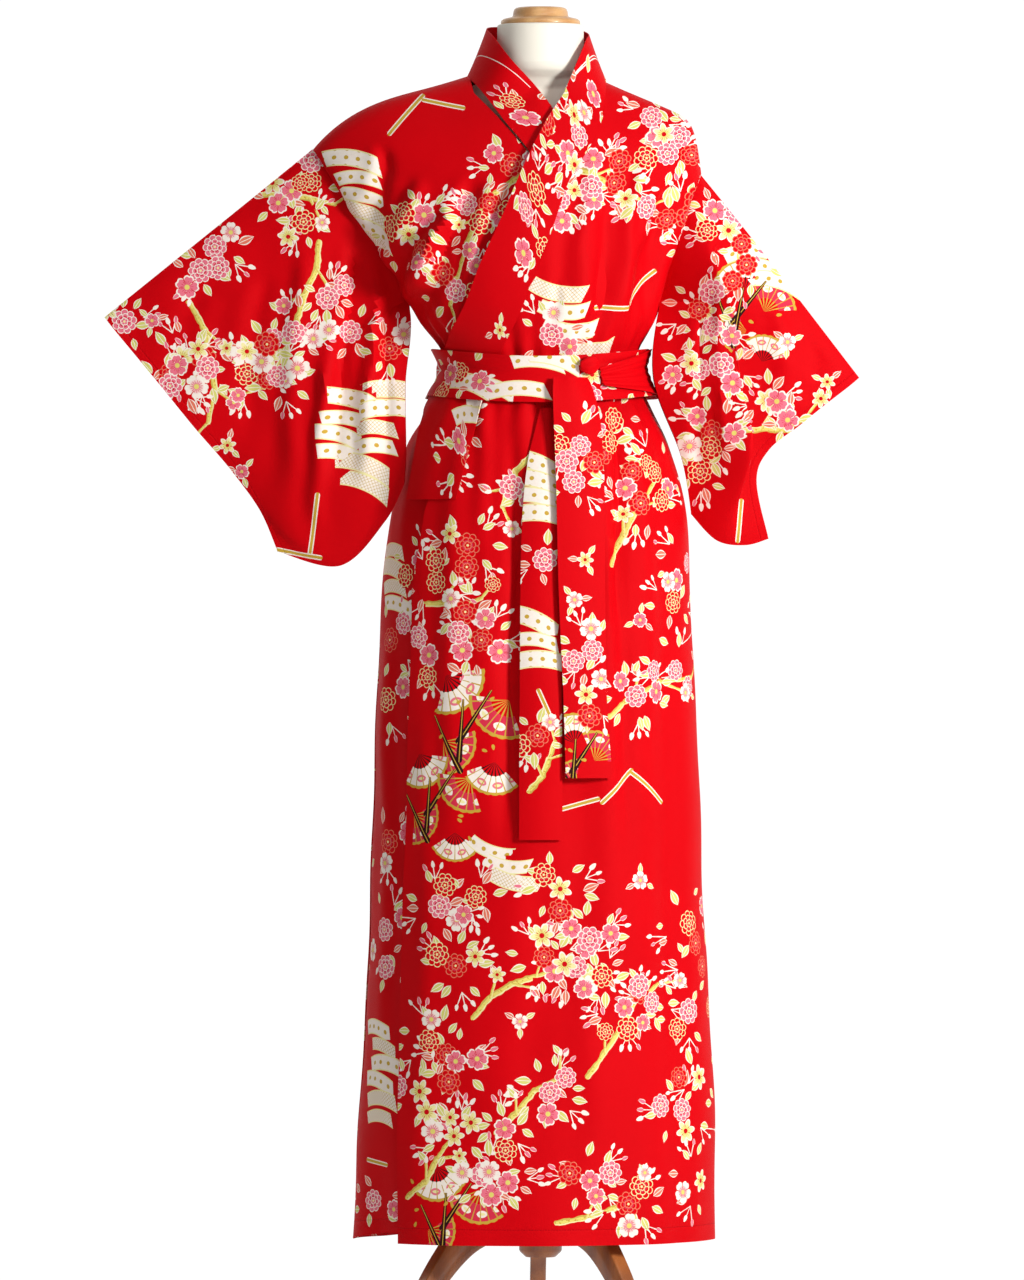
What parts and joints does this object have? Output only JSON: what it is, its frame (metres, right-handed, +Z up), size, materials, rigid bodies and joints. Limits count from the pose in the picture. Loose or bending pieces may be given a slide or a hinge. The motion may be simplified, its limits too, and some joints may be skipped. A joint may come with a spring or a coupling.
{
  "type": "yukata on a tripod dress form",
  "caption": "Women's red cotton yukata with a flowering-branch print, tied with its own narrow belt, worn by a limbless dress form on a wooden tripod stand.",
  "frame": {"origin": "middle of the part's bounding box, on the floor", "axes": "+Z up; the front of the garment faces -Y; the wearer's left is +X"},
  "size_m": [0.9516, 0.5588, 1.781],
  "materials": {
    "red_cotton": "printed plain-weave cotton",
    "form_cover": "cream knitted cover",
    "cap_wood": "turned and varnished",
    "stand_wood": "satin varnish"
  },
  "bodies": {
    "root": {"body_wearers_left": "red_cotton", "body_wearers_right": "red_cotton", "sleeve_wearers_right": "red_cotton", "sleeve_wearers_left": "red_cotton", "collar_band": "red_cotton", "belt_wrap": "red_cotton", "belt_fan": "red_cotton", "belt_knot": "red_cotton", "belt_end_upper": "red_cotton", "belt_end_lower": "red_cotton", "dress_form": "form_cover", "neck_cap": "cap_wood", "stand_pole": "stand_wood", "stand_hub": "stand_wood", "stand_leg_left": "stand_wood", "stand_leg_right": "stand_wood", "stand_leg_back": "stand_wood"}
  },
  "joints": []
}
